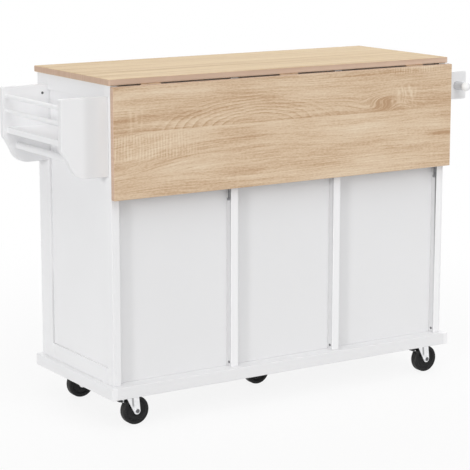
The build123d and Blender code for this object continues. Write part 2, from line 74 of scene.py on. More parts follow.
print("box of the frame:", [tuple(round(v, 3) for v in corner) for corner in cad_box])

# %% [markdown]
# ## Writing shaders as sums
# A shader is a web of nodes, and long webs are easier to read as formulas. `Value` wraps one socket, so
# that `1 - mask` or `x * 40 + wave` adds the Math nodes for us. Each operator has two forms, because in
# `1 - mask` the socket stands on the right. `Nodes.node` makes any other node: its type, its settings,
# which come first because they change its sockets, and then the values or links of those sockets.

# %% A socket that can be used in sums
def both_forms(operation):
    """The plain and the reflected form of one operator."""
    def plain(self, other):
        return self.math(operation, other)

    def reflected(self, other):
        return self.web.node("ShaderNodeMath", {"operation": operation}, {0: other, 1: self})

    return plain, reflected


class Value:
    __add__, __radd__ = both_forms("ADD")
    __sub__, __rsub__ = both_forms("SUBTRACT")
    __mul__, __rmul__ = both_forms("MULTIPLY")
    __truediv__, __rtruediv__ = both_forms("DIVIDE")
    __pow__, __rpow__ = both_forms("POWER")

    def __init__(self, web, socket):
        self.web = web
        self.socket = socket

    def math(self, operation, *others):
        return self.web.node("ShaderNodeMath", {"operation": operation}, dict(enumerate((self, *others))))

    def __abs__(self):
        return self.math("ABSOLUTE")


print("a socket takes + - * / ** and abs()")

# %% One method for every other node
hair_width = 0.0002


class Nodes:
    def __init__(self, tree):
        self.tree = tree

    def node(self, kind, settings=None, inputs=None, output=0):
        made = self.tree.nodes.new(kind)
        for name, value in (settings or {}).items():
            if name == "stops":
                self.set_stops(made.color_ramp, value)
            else:
                setattr(made, name, value)
        for key, value in (inputs or {}).items():
            socket = self.find(made.inputs, key)
            for one in value if isinstance(value, list) else [value]:
                if isinstance(one, Value):
                    self.tree.links.new(one.socket, socket)
                else:
                    socket.default_value = one
        self.last = made
        return Value(self, self.find(made.outputs, output)) if len(made.outputs) else None

    def find(self, sockets, key):
        if isinstance(key, int):
            return sockets[key]
        return next(s for s in sockets if key in (s.identifier, s.name))

    def set_stops(self, ramp, stops):
        while len(ramp.elements) > 1:
            ramp.elements.remove(ramp.elements[-1])
        ramp.elements[0].position, ramp.elements[0].color = stops[0]
        for place, tint in stops[1:]:
            ramp.elements.new(place).color = tint

    def outputs(self, count):
        """The first sockets that the last node gives."""
        return [Value(self, socket) for socket in list(self.last.outputs)[:count]]

    def mix(self, share, low, high):
        parts = {"Factor_Float": share, "A_Color": low, "B_Color": high}
        return self.node("ShaderNodeMix", {"data_type": "RGBA"}, parts, "Result_Color")

    def step(self, value, low, high):
        """0 below low, 1 above high, and a soft step between them."""
        ends = {"Value": value, "From Min": low, "From Max": high}
        return self.node("ShaderNodeMapRange", {"interpolation_type": "SMOOTHSTEP"}, ends)

    def past(self, along, place, soft=hair_width):
        """0 before a place and 1 past it, with a narrow soft border."""
        return self.step(along, place - soft, place + soft)

    def point(self, x, y, z):
        return self.node("ShaderNodeCombineXYZ", None, {0: x, 1: y, 2: z})

    def split(self, point):
        """The X, Y and Z of a point."""
        self.node("ShaderNodeSeparateXYZ", None, {0: point})
        return self.outputs(3)

    def noise(self, point, scale=1.0, detail=2.0, roughness=0.5):
        parts = {"Vector": point, "Scale": scale, "Detail": detail, "Roughness": roughness}
        return self.node("ShaderNodeTexNoise", None, parts)


print("short calls for nodes: mix, step, past, point, split, noise")

# %% [markdown]
# ## A finish
# Each finish is one material with one Principled shader. What is the same all over the surface is set
# on the shader's own sockets. What changes from place to place is linked in. All patterns read Object
# coordinates, which are metres on the island, so a grain line or a brushed scratch has its real size.

# %% Colours and the finish class
def srgb(red, green, blue):
    """A colour as it is measured on a screen, 0 to 255, as the linear colour that a shader takes."""
    def linear(value):
        value = value / 255
        return value / 12.92 if value <= 0.04045 else ((value + 0.055) / 1.055) ** 2.4
    return (linear(red), linear(green), linear(blue), 1.0)


class Finish(Nodes):
    def __init__(self, name, **constants):
        self.material = bpy.data.materials.new(name)
        self.material.use_nodes = True
        super().__init__(self.material.node_tree)
        self.tree.nodes.clear()
        constants = {socket.replace("_", " "): value for socket, value in constants.items()}
        shader = self.node("ShaderNodeBsdfPrincipled", None, constants)
        self.shader = self.last
        self.node("ShaderNodeOutputMaterial", None, {"Surface": shader})
        self.place = self.node("ShaderNodeTexCoord", None, None, "Object")
        self.x, self.y, self.z = self.split(self.place)

    def set(self, name, value):
        self.tree.links.new(value.socket, self.find(self.shader.inputs, name))

    def bump(self, height, distance, strength):
        parts = {"Height": height, "Distance": distance, "Strength": strength}
        self.set("Normal", self.node("ShaderNodeBump", None, parts))

    def cover(self, *names):
        for name in names:
            for slot in nodes[name].material_slots:
                slot.material = self.material
        print(self.material.name, "on", len(names), "pieces,", len(self.tree.nodes), "nodes")


print("paint white as a linear colour:", round(srgb(243, 243, 243)[0], 3))

# %% [markdown]
# ## Oak-look laminate
# The worktop and the drop leaf are board with a printed oak skin: planks side by side, long streaks
# along X, pale saw marks across them, and on the leaf's upper plank an oval figure with a knot. An
# image of oak would do this quickly, but would blur close up and repeat. Here the figure is worked out.
# Streaks are noise that is stretched along the plank: each kind has its waves per metre along and
# across the fibres, its detail and its roughness.

# %% Streaks, fibres and pores of one board
streak_kinds = {
    "broad": (1.6, 60, 3.0, 0.55),
    "fine": (5, 320, 3.0, 0.6),
    "short": (26, 250, 2.0, 0.6),
    "fleck": (110, 330, 2.0, 0.6),
}
plank_shift, sway_reach, ripple_reach = 0.37, 0.04, 0.004


def oak_grain(oak, across, joints, bend=0.0):
    """Patterns of a board of planks: streaks and tint that average 0, and pores from 0 to 1."""
    over_joints = [across.math("GREATER_THAN", joint) for joint in joints]
    plank = sum(over_joints[1:], over_joints[0])
    along = oak.x + plank * plank_shift
    sway = oak.noise(oak.point(along * 1.7, across * 5, plank * 3)) - 0.5
    ripple = oak.noise(oak.point(along * 9, across * 26, plank * 3)) - 0.5
    fibre = across + sway * sway_reach + ripple * ripple_reach + bend
    grain = {"fibre": fibre, "ripple": ripple}
    for kind, (waves_along, waves_across, detail, roughness) in streak_kinds.items():
        place = oak.point(along * waves_along, fibre * waves_across, plank * 7)
        grain[kind] = oak.noise(place, detail=detail, roughness=roughness) - 0.5
    pits = oak.noise(oak.point(along * 34, fibre * 1300, plank), detail=1.0)
    grain["pores"] = oak.step(pits, 0.62, 0.74)
    grain["tint"] = oak.noise(oak.point(plank * 5.3, plank * 2.1, oak.x * 0.6), detail=0.0) - 0.5
    return grain


print("kinds of streaks:", ", ".join(streak_kinds))

# %% Saw marks: pale lines across the grain, in patches
saw_pitch = 0.0088


def saw_marks(oak, across, centre, reach, pitch=saw_pitch, wander=0.9):
    """Lines about one pitch apart in a patch, which is given by its centre and its reach each way."""
    wobble = oak.noise(oak.point(oak.x * 28, across * 16, 0.0), detail=1.0) - 0.5
    lines = ((oak.x + wobble * (pitch * wander)) * (2 * pi / pitch)).math("SINE") * 0.5 + 0.5
    strength = oak.noise(oak.point(oak.x * 45, across * 30, 3.0))
    patch = 1 - oak.step(abs(oak.x - centre[0]), reach[0] * 0.4, reach[0])
    patch = patch * (1 - oak.step(abs(across - centre[1]), reach[1] * 0.55, reach[1]))
    return lines ** 1.6 * oak.step(strength, 0.3, 0.6) * patch


print("saw marks are", round(saw_pitch * 1000, 1), "mm apart, and wider in single patches")

# %% [markdown]
# The raw edges of such boards are closed with a thin strip, the edge band, which is plainer and pinker
# than the faces. It is found by place: a point that lies within half a millimetre of one of the board's
# narrow sides.

# %% Edge band mask
skin = 0.0005


def edge_band(finish, sides):
    """1 on the given sides, which are pairs of an axis and a place on it, and 0 elsewhere."""
    gaps = [abs(axis - place) for axis, place in sides]
    nearest = gaps[0]
    for gap in gaps[1:]:
        nearest = nearest.math("MINIMUM", gap)
    return 1 - finish.past(nearest, skin)


print("edge band: within", skin * 1000, "mm of a side")

# %% [markdown]
# Both boards get their tone the same way: the middle of a colour ramp, plus each pattern times its
# weight. The ramp turns the tone into oak, from the dark late wood to the pale saw marks. The pores are
# pressed in a little.

# %% Tone, colour and surface of oak
ramp_middle, fibre_height = 0.48, 0.0001
band_dark, band_pale = srgb(198, 168, 146), srgb(214, 187, 166)


def oak_tone(grain, weights):
    tone = ramp_middle
    for name, weight in weights.items():
        tone = tone + grain[name] * weight
    return tone


def oak_skin(oak, stops, tone, band, grain):
    """Links roughness and bump, and returns the colour of faces and edge bands."""
    oak.set("Roughness", 0.56 + grain["fine"] * 0.12 + grain["pores"] * 0.1)
    oak.bump(grain["fine"] * 0.5 - grain["pores"], distance=fibre_height, strength=0.35)
    face = oak.node("ShaderNodeValToRGB", {"stops": stops}, {"Fac": tone})
    strip = oak.mix(oak.step(grain["fine"], -0.3, 0.3), band_dark, band_pale)
    return oak.mix(band, face, strip)


print("fibres are", fibre_height * 1000, "mm high")

# %% The worktop: quiet, straight grain
top_low, top_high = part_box("worktop")
top_joints = [top_low.y + (top_high.y - top_low.y) * share for share in (0.22, 0.49, 0.71)]
top_stops = [(0.0, srgb(190, 156, 114)), (0.5, srgb(222, 196, 157)), (1.0, srgb(236, 217, 182))]
top_weights = {"broad": 1.15, "fine": 0.9, "short": 0.4, "fleck": 0.35, "tint": 0.35, "pores": -0.14,
               "marks": 0.1}
top_marks_centre, top_marks_reach, top_marks_pitch = (0.3, 0.05), (0.3, 0.15), 0.009

top = Finish("oak_worktop", Specular_IOR_Level=0.08)
top_grain = oak_grain(top, top.y, top_joints)
top_grain["marks"] = saw_marks(top, top.y, top_marks_centre, top_marks_reach, top_marks_pitch)
top_sides = [(top.x, corner.x) for corner in (top_low, top_high)]
top_sides += [(top.y, corner.y) for corner in (top_low, top_high)]
top_tone = oak_tone(top_grain, top_weights)
top_colour = oak_skin(top, top_stops, top_tone, edge_band(top, top_sides), top_grain)
print("worktop planks meet at y", [round(joint, 3) for joint in top_joints])

# %% [markdown]
# The worktop's rear edge band is painted paler low down, as painted light where the leaf shades it. A
# second colour comes in there, more and more towards the towel rail.

# %% Painted light on the low rear edge of the worktop
painted_light_start = 0.004
rear_band = edge_band(top, [(top.y, top_high.y)])
low_down = 1 - top.step(top.z, top_low.z + painted_light_start, top_high.z)
towel_way = 1 - top.step(top.x, top_low.x, top_high.x)
# painted light: the rear band is lightened low down, where the leaf shades it
painted_light_band = rear_band * low_down * (0.3 + 0.45 * towel_way)
top.set("Base Color", top.mix(painted_light_band, top_colour, srgb(234, 209, 188)))
top.cover("worktop")

# %% [markdown]
# On the leaf's upper plank the log was cut nearly along its side, so its year rings show as long nested
# ovals about one centre on the plank's lower edge. The distance from that centre, squeezed along X and
# ruffled by noise, counts the rings. Further along there is a knot, where the fibres are twisted: the
# height that the grain is read at turns about the knot, less and less with the distance from it. On the
# middle plank the fibres climb in one long swoop from the rack's end.

# %% The leaf: fibres that twist round a knot and climb in a swoop
leaf_low, leaf_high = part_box("drop_leaf")
leaf_joints = [leaf_low.z + (leaf_high.z - leaf_low.z) * share for share in (0.21, 0.591)]
low_joint, high_joint = leaf_joints
joint_border = 0.0006
knot_x, knot_z = -0.318, high_joint + 0.022
knot_reach_x, knot_reach_z, knot_squeeze, knot_turn = 0.07, 0.026, 0.34, 1.9
swoop_start, swoop_end, swoop_rise = 0.2, 0.58, 0.042

leaf = Finish("oak_leaf", Specular_IOR_Level=0.2)
upper = leaf.past(leaf.z, high_joint, joint_border)
middle = leaf.past(leaf.z, low_joint, joint_border) * (1 - upper)
past_knot, over_knot = leaf.x - knot_x, leaf.z - knot_z
near_knot = (past_knot / knot_reach_x) ** 2 + (over_knot / knot_reach_z) ** 2
twist = (near_knot * -1).math("EXPONENT") * knot_turn
turned = past_knot * knot_squeeze * twist.math("SINE") + over_knot * twist.math("COSINE")
swoop = leaf.step(leaf.x, swoop_start, swoop_end) * swoop_rise
bend = (turned - over_knot) * upper + swoop * middle
leaf_grain = oak_grain(leaf, leaf.z, leaf_joints, bend)
fibre = leaf_grain["fibre"]
print("leaf planks meet at z", [round(joint, 3) for joint in leaf_joints])
print("knot at", (knot_x, round(knot_z, 3)))

# %% Rings of the ovals, and the dark heart of the knot
oval_x, oval_z, oval_squeeze = 0.085, high_joint - 0.009, 0.28
oval_core, oval_rim, oval_fade = (0.014, 0.034), (0.066, 0.1), (-0.16, 0.1)
ring_width, ring_drift, ring_ruffle = 0.0082, 0.016, 0.007
oval = (((leaf.x - oval_x) * oval_squeeze) ** 2 + (leaf.z - oval_z) ** 2) ** 0.5
drift = leaf.noise(leaf.point(leaf.x * 5, leaf.z * 9, 8.0)) - 0.5
rings = (oval + drift * ring_drift + leaf_grain["ripple"] * ring_ruffle) / ring_width
late_wood = rings.math("FRACT") ** 1.8
oval_zone = upper * leaf.step(oval, *oval_core) * (1 - leaf.step(oval, *oval_rim))
oval_zone = oval_zone * (0.3 + 0.7 * leaf.step(leaf.x, *oval_fade))

knot_core, knot_flatten = (0.006, 0.03), 0.36
ruffle = leaf.noise(leaf.point(leaf.x * 22, fibre * 60, 2.0), detail=3.0) - 0.5
from_knot = ((past_knot * knot_flatten) ** 2 + over_knot ** 2) ** 0.5
knot_zone = upper * (1 - leaf.step(from_knot, *knot_core))
knot_heart = knot_zone * leaf.step(ruffle, -0.12, 0.1)
print("rings are", round(ring_width * 1000, 1), "mm apart, about", (oval_x, round(oval_z, 3)))

# %% [markdown]
# The saw left pale lines where its blade shook: a broad patch at the rack's end, a few curled ones
# beside the knot, and short ones along the rim. Each patch has its centre, its reach, its pitch, how
# much its lines wander, and its weight in the tone.

# %% Saw marks of the leaf
leaf_patches = (
    ((leaf_high.x, 0.742), (0.32, 0.04), saw_pitch, 0.9, 0.4),
    ((0.455, 0.815), (0.028, 0.045), 0.016, 0.9, 0.25),
    ((-0.398, 0.824), (0.056, 0.03), 0.017, 4.0, 0.45),
    ((-0.44, leaf_high.z), (0.12, 0.022), saw_pitch, 0.9, 0.3),
)
leaf_grain["marks"] = 0.0
for centre, reach, pitch, wander, weight in leaf_patches:
    patch = saw_marks(leaf, leaf.z, centre, reach, pitch, wander)
    leaf_grain["marks"] = leaf_grain["marks"] + patch * weight
print("patches of saw marks on the leaf:", len(leaf_patches))

# %% Leaf tone: streaks, veins, ovals and knot
leaf_weights = {"swirl": 0.85, "cloud": 0.5, "broad": 0.65, "fine": 1.1, "short": 0.55, "fleck": 0.8,
                "tint": 0.25, "pores": -0.16, "marks": 1.0}
leaf_grain["swirl"] = leaf.noise(leaf.point(leaf.x * 3, fibre * 20, 4.0), detail=1.0) - 0.5
leaf_grain["cloud"] = leaf.noise(leaf.point(leaf.x * 5, fibre * 38, 9.0), detail=1.0) - 0.5
leaf_tone = oak_tone(leaf_grain, leaf_weights)

vein_z, vein_reach = 0.722, (0.008, 0.024)
wedge_z, wedge_reach, wedge_span = 0.7055, (0.003, 0.009), (-0.53, -0.44)
vein = leaf.step(leaf.noise(leaf.point(leaf.x * 1.4, fibre * 105, 6.0), detail=1.5), 0.54, 0.72)
vein_band = middle * (1 - leaf.step(abs(fibre - vein_z), *vein_reach))
wedge = middle * (1 - leaf.step(abs(leaf.z - wedge_z), *wedge_reach))
wedge = wedge * (1 - leaf.step(leaf.x, *wedge_span))
leaf_tone = leaf_tone - vein * (0.08 + vein_band * 0.2) - vein_band * 0.05 - wedge * 0.42
leaf_tone = leaf_tone + oval_zone * (0.18 - late_wood * 0.46) - knot_zone * 0.1 - knot_heart * 0.26
print("nodes of the leaf's tone:", len(leaf.tree.nodes))

# %% Leaf colour, with the dark line at the plank joint
shade_over, shade_under = 0.018, 0.03
over_joint = upper * (1 - leaf.step(leaf.z, high_joint, high_joint + shade_over))
under_joint = (1 - upper) * leaf.step(leaf.z, high_joint - shade_under, high_joint)
patchy = leaf.step(leaf_grain["broad"] + leaf_grain["swirl"], -0.3, 0.2)
leaf_tone = leaf_tone - over_joint * patchy * 0.3 + under_joint * 0.08
leaf_stops = [(0.0, srgb(186, 152, 119)), (0.5, srgb(217, 192, 163)), (1.0, srgb(231, 213, 188))]
leaf_sides = [(leaf.x, corner.x) for corner in (leaf_low, leaf_high)]
leaf_sides += [(leaf.z, corner.z) for corner in (leaf_low, leaf_high)]
leaf_colour = oak_skin(leaf, leaf_stops, leaf_tone, edge_band(leaf, leaf_sides), leaf_grain)
print("nodes of the leaf's colour:", len(leaf.tree.nodes))

# %% [markdown]
# The inner part of the leaf's upper edge closes against the worktop when the leaf is raised. There it
# is painted dark brown, a painted shadow for the gap under the worktop, which deepens the dark line at
# the hinges.

# %% The painted shadow on the upper edge
gap_shadow_depth, gap_shadow_border = 0.004, 0.001
gap_shadow_colour = leaf.mix(leaf.step(leaf_grain["fleck"], -0.2, 0.2), srgb(58, 45, 36), srgb(84, 66, 52))
gap_shadow = leaf.past(leaf.z, leaf_high.z - skin)
gap_shadow = gap_shadow * (1 - leaf.past(leaf.y, leaf_low.y + gap_shadow_depth, gap_shadow_border))
# painted shadow: the inner strip of the upper edge is dark, as the gap's shadow
leaf.set("Base Color", leaf.mix(gap_shadow, leaf_colour, gap_shadow_colour))
leaf.cover("drop_leaf")

# %% [markdown]
# ## White satin paint
# The cabinet is board with a factory paint: nearly white, smooth, with a faint orange peel from the
# spray and a sheen that varies a little. One flat colour would look like plastic, so the tone drifts
# slowly over the boards and the fine peel goes into the bump and the roughness.

# %% Paint the cabinet
def satin_paint(name):
    paint = Finish(name, Specular_IOR_Level=0.35)
    drift = paint.noise(paint.place, scale=4.0)
    peel = paint.noise(paint.place, scale=420.0)
    paint.set("Roughness", 0.42 + drift * 0.08 + peel * 0.06)
    paint.bump(peel, distance=0.00004, strength=0.4)
    return paint, paint.mix(drift, srgb(240, 240, 241), srgb(246, 246, 247))


def nodes_of(material_slot):
    """The pieces that the CAD record gives this material slot."""
    return [part["node"] for part in frame["record"]["subparts"] if part["material_slot"] == material_slot]


uprights = ("rack_end_board", "towel_end_board", "rack_side_divider", "towel_side_divider")
end_frames = ("rack_end_frame", "towel_end_frame")
own_finish = (*uprights, *end_frames, "back_panels", "rack_cheeks", "base_board")
white_paint, paint_colour = satin_paint("white_paint")
white_paint.set("Base Color", paint_colour)
white_paint.cover(*[name for name in nodes_of("white_paint") if name not in own_finish])

# %% [markdown]
# Not all whites are the same. The back panels are painted a shade greyer, as painted shade of the
# recesses. The cheeks are a touch greyer, and on the near cheek's outer side the part next to the
# cabinet is painted greyer still, as a painted shadow, with a soft border between the two.

# %% Back panels and cheeks
panel_shade_paint, paint_colour = satin_paint("white_paint_panels")
# painted shade: the back panels are greyer, as the recesses shade them
panel_shade_paint.set("Base Color", panel_shade_paint.mix(0.5, paint_colour, srgb(222, 222, 223)))
panel_shade_paint.cover("back_panels")

rack_low, rack_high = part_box("rack_cheeks")
cheek_shadow_start, cheek_shadow_end = (-0.002, 0.05), (0.054, 0.078)
cheek_paint, paint_colour = satin_paint("white_paint_cheeks")
from_cabinet = cheek_paint.x - rack_low.x
cheek_shadow = cheek_paint.step(from_cabinet, *cheek_shadow_start)
cheek_shadow = cheek_shadow * (1 - cheek_paint.step(from_cabinet, *cheek_shadow_end))
outer_side = cheek_paint.past(cheek_paint.y, rack_high.y - skin)
# painted shadow on the near cheek's outer side, next to the cabinet
grey_and_shadow_share = 0.35 + 0.65 * cheek_shadow * outer_side
cheek_paint.set("Base Color", cheek_paint.mix(grey_and_shadow_share, paint_colour, srgb(227, 227, 228)))
cheek_paint.cover("rack_cheeks")

# %% [markdown]
# The end frames are cut from painted board, so the inner sides of their stiles and rails are cut edges.
# They are painted greyer than the faces, as painted shade where frame and panel meet, and darker towards
# the bottom, which draws a thin line beside the panel. On the rails the line fades out towards the rear,
# and the rear edge itself is only a little greyer.

# %% End frames
front_stile, rear_stile, frame_rail = 0.046, 0.032, 0.042
rail_shade, rail_fade, rear_grey, darkening_top = 0.5, 0.15, 0.2, (0.27, 0.42)


def between(finish, along, start, end):
    """1 from start to end, and 0 past either."""
    return finish.past(along, start - skin) * (1 - finish.past(along, end + skin))


for name in end_frames:
    low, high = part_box(name)
    panel_front, panel_rear = low.y + front_stile, high.y - rear_stile
    panel_low, panel_high = low.z + frame_rail, high.z - frame_rail
    end_paint, paint_colour = satin_paint("white_paint_" + name)
    stiles = edge_band(end_paint, [(end_paint.y, panel_front), (end_paint.y, panel_rear)])
    stiles = stiles * between(end_paint, end_paint.z, panel_low, panel_high)
    rails = edge_band(end_paint, [(end_paint.z, panel_low), (end_paint.z, panel_high)])
    rails = rails * between(end_paint, end_paint.y, panel_front, panel_rear)
    rails = rails * rail_shade * (1 - end_paint.step(end_paint.y, panel_front, panel_front + rail_fade))
    low_darkening = 0.35 + 0.65 * (1 - end_paint.step(end_paint.z, *darkening_top))
    rear_side = edge_band(end_paint, [(end_paint.y, high.y)]) * rear_grey
    # painted shade on the frame's inner sides, darker towards the bottom
    frame_shade_share = (stiles.math("MAXIMUM", rails) * low_darkening).math("MAXIMUM", rear_side)
    end_paint.set("Base Color", end_paint.mix(frame_shade_share, paint_colour, srgb(216, 216, 217)))
    end_paint.cover(name)

# %% [markdown]
# The base board is painted a shade greyer than the cabinet, as painted shade that tones down its lit top.
# Where it stands out past the ends of the cabinet it is nearly as white, as painted light on the ledge
# that the end frame shades.

# %% Base board
base_low, base_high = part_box("base_board")
base_overhang = base_high.x - rack_low.x
base_paint, paint_colour = satin_paint("white_paint_base")
from_ends = (base_paint.x - base_low.x).math("MINIMUM", base_high.x - base_paint.x)
lit_ends = 1 - base_paint.past(from_ends, base_overhang)
# painted shade: greyer all over; painted light: lighter on the shaded ends
base_shade_share = 0.5 - 0.4 * lit_ends
base_paint.set("Base Color", base_paint.mix(base_shade_share, paint_colour, srgb(223, 223, 224)))
base_paint.cover("base_board")

# %% [markdown]
# Where the uprights stand past the back panels, their inner sides are painted the same grey, as painted
# shade of the recesses, and a dark seam, a painted shadow of a gap, runs just short of the rear edge.
# The seam is painted darkest under the leaf, as the leaf's shadow. How dark it is differs from one
# upright to the next, and the rear edge of the board at the rack's end is greyer than the others.

# %% The uprights: painted shade and a painted seam shadow on the sides of the recesses
seam_shades = (0.2, 0.85, 0.25, 0.2)
edge_shades = (0.25, 0.0, 0.0, 0.0)
unshaded_strip, seam_width, seam_border, seam_fade = 0.001, 0.007, 0.0005, (0.25, 0.66)
back_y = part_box("back_panels")[1].y
rear_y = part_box("towel_end_board")[1].y
for name, seam_shade, edge_shade in zip(uprights, seam_shades, edge_shades):
    upright, paint_colour = satin_paint("white_paint_" + name)
    # painted shade: the sides of the recess are greyer
    recess_shade = upright.past(upright.y, back_y) * (1 - upright.past(upright.y, rear_y - unshaded_strip))
    seam = upright.past(upright.y, rear_y - seam_width, seam_border) * recess_shade
    depth = 0.12 + 0.88 * upright.step(upright.z, *seam_fade)
    rear_side = upright.past(upright.y, rear_y - skin) * edge_shade
    colour = upright.mix(recess_shade.math("MAXIMUM", rear_side), paint_colour, srgb(217, 217, 218))
    # painted shadow: the dark seam, darkest under the leaf
    upright.set("Base Color", upright.mix(seam * depth * seam_shade, colour, srgb(58, 58, 60)))
    upright.cover(name)

# %% [markdown]
# ## Pale board inside
# Drawer boxes and runners are plain melamine board: a warm white with fine specks and a dull surface.
# The specks are fine noise, and only its peaks are tinted, so that they stay apart.

# %% Drawer boxes and runners
bare_board = Finish("bare_board", Specular_IOR_Level=0.35)
specks = bare_board.noise(bare_board.place, scale=700.0, roughness=0.7)
cloud = bare_board.noise(bare_board.place, scale=9.0)
board_tone = bare_board.mix(cloud, srgb(226, 221, 211), srgb(235, 231, 223))
speckled = bare_board.mix(bare_board.step(specks, 0.58, 0.75), board_tone, srgb(205, 196, 181))
bare_board.set("Base Color", speckled)
bare_board.set("Roughness", 0.55 + specks * 0.2)
bare_board.bump(specks, distance=0.00005, strength=0.4)
bare_board.cover("drawer_runners", *[f"{place}_drawer_box" for place in ("bottom", "middle", "top")])

# %% [markdown]
# ## Metals
# Forks, caster plates, door hinges, catches and props are zinc-plated steel: bright, slightly mottled
# where the zinc froze in flakes. A Voronoi pattern gives the flakes, each with its own brightness. The
# props take darker colours of the same plate.

# %% Zinc plate
def zinc_plate(name, dark, light):
    zinc = Finish(name, Metallic=1.0)
    flakes = zinc.node("ShaderNodeTexVoronoi", None, {"Vector": zinc.place, "Scale": 260.0}, "Color")
    flake = zinc.node("ShaderNodeSeparateColor", None, {0: flakes}, 0)
    dull = zinc.noise(zinc.place, scale=60.0, detail=3.0)
    zinc.set("Roughness", 0.26 + flake * 0.1 + dull * 0.14)
    return zinc, zinc.mix(flake * 0.5 + dull * 0.5, dark, light)


caster_places = ("rear_rack", "rear_towel", "front_rack", "front_towel", "centre")
forks = [f"{place}_fork" for place in caster_places]
props = ("prop_arms", "prop_wall_plates")
leaf_hinges = ("leaf_hinge_top_halves", "leaf_hinge_leaf_halves", "leaf_hinge_pins")
other_metals = ("towel_rail", *leaf_hinges, *props, *forks)
zinc_steel, zinc_colour = zinc_plate("zinc_steel", srgb(196, 198, 200), srgb(232, 233, 234))
zinc_steel.set("Base Color", zinc_colour)
zinc_steel.cover(*[name for name in nodes_of("zinc_steel") if name not in other_metals])
# the props are darker than the other zinc
prop_steel, prop_colour = zinc_plate("prop_steel", srgb(122, 123, 125), srgb(172, 173, 175))
prop_steel.set("Base Color", prop_colour)
prop_steel.cover(*props)

# %% [markdown]
# The crease is painted darker than the bright plate, as painted shade in it, and the plate is darker
# round the head of the axle too. Both are found by their place from the axle.

# %% Forks
crease_ahead, crease_lean = 0.0105, 0.07
crease_edge, crease_foot, axle_edge = (0.002, 0.0036), (0.008, 0.018), (0.005, 0.0066)


def middle_of(name):
    low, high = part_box(name)
    return (low + high) / 2


for place in caster_places:
    hub = middle_of(f"{place}_wheel")
    fork, fork_colour = zinc_plate(f"zinc_fork_{place}", srgb(226, 227, 229), srgb(248, 248, 249))
    ahead, above = fork.x - hub.x, fork.z - hub.z
    from_crease = abs(ahead - (crease_ahead + above * crease_lean))
    crease = (1 - fork.step(from_crease, *crease_edge)) * fork.step(above, *crease_foot)
    round_axle = 1 - fork.step((ahead * ahead + above * above) ** 0.5, *axle_edge)
    # painted shade in the crease, and a darker ring round the axle
    crease_shade_and_axle_dark = (crease * 0.62 + round_axle * 0.85).math("MINIMUM", 1.0)
    fork.set("Base Color", fork.mix(crease_shade_and_axle_dark, fork_colour, srgb(92, 92, 94)))
    fork.cover(f"{place}_fork")

# %% [markdown]
# The leaf's hinges are zinc too, but with the yellow bath that gives a warm, slightly cloudy tint. It
# has no flakes, so soft noise is enough.

# %% Yellow zinc
yellow_zinc = Finish("yellow_zinc", Metallic=1.0)
cloudy = yellow_zinc.noise(yellow_zinc.place, scale=130.0, detail=3.0)
yellow_zinc.set("Base Color", yellow_zinc.mix(cloudy, srgb(188, 160, 134), srgb(212, 188, 160)))
yellow_zinc.set("Roughness", 0.36 + cloudy * 0.16)
yellow_zinc.cover(*leaf_hinges)

# %% [markdown]
# The towel tube is drawn and brushed along its length, so its noise is stretched along Y. The knobs are
# turned on a lathe whose axis is Y, which leaves fine rings across Y and a softer satin.

# %% Brushed tube and turned knobs
tube = Finish("brushed_tube", Metallic=1.0)
scratch = tube.noise(tube.point(tube.x * 900, tube.y * 12, tube.z * 900), detail=3.0)
tube.set("Base Color", tube.mix(scratch, srgb(200, 201, 202), srgb(232, 233, 234)))
tube.set("Roughness", 0.24 + scratch * 0.2)
tube.bump(scratch, distance=0.00003, strength=0.4)
tube.cover("towel_rail")

knob_steel = Finish("knob_steel", Metallic=1.0)
lathe_place = knob_steel.point(knob_steel.x * 50, knob_steel.y * 2400, knob_steel.z * 50)
lathe_rings = knob_steel.noise(lathe_place)
knob_steel.set("Base Color", knob_steel.mix(lathe_rings, srgb(168, 168, 166), srgb(200, 200, 198)))
knob_steel.set("Roughness", 0.28 + lathe_rings * 0.18)
knob_steel.bump(lathe_rings, distance=0.00003, strength=0.5)
knob_steel.cover(*nodes_of("knob_steel"))

# %% [markdown]
# ## Plastics
# The rail's end balls are moulded in white, glossier than the paint. The wheels are black with a dry,
# slightly dusty tread: dust lies where the wheel meets the floor, so the grey comes in towards the
# outer radius, which is the height of the hub above the floor. The brake levers are black with a fine
# spark-eroded grain.

# %% White balls
white_plastic = Finish("white_plastic", Specular_IOR_Level=0.5)
haze = white_plastic.noise(white_plastic.place, scale=90.0)
white_plastic.set("Base Color", white_plastic.mix(haze, srgb(238, 238, 237), srgb(245, 245, 244)))
white_plastic.set("Roughness", 0.22 + haze * 0.12)
white_plastic.cover("towel_rail_knobs")

# %% Black wheels
dust_depth = 0.005
for place in caster_places:
    hub = middle_of(f"{place}_wheel")
    wheel_radius = hub.z
    tread = Finish(f"black_tread_{place}", Specular_IOR_Level=0.25)
    radius = ((tread.x - hub.x) ** 2 + (tread.z - hub.z) ** 2) ** 0.5
    grit = tread.noise(tread.place, scale=800.0, detail=3.0, roughness=0.6)
    patches = tread.noise(tread.place, scale=70.0)
    turning = tread.noise(tread.point(radius * 900, 0.0, 0.0))
    dust = tread.step(radius, wheel_radius - dust_depth, wheel_radius) * tread.step(patches, 0.35, 0.7)
    rubber = tread.mix(grit * 0.5 + turning * 0.5, srgb(14, 14, 15), srgb(32, 32, 33))
    tread.set("Base Color", tread.mix(dust * 0.5, rubber, srgb(70, 69, 67)))
    tread.set("Roughness", 0.42 + grit * 0.16 + dust * 0.2)
    tread.bump(grit * 0.4 + turning * 0.6, distance=0.00012, strength=0.5)
    tread.cover(f"{place}_wheel")

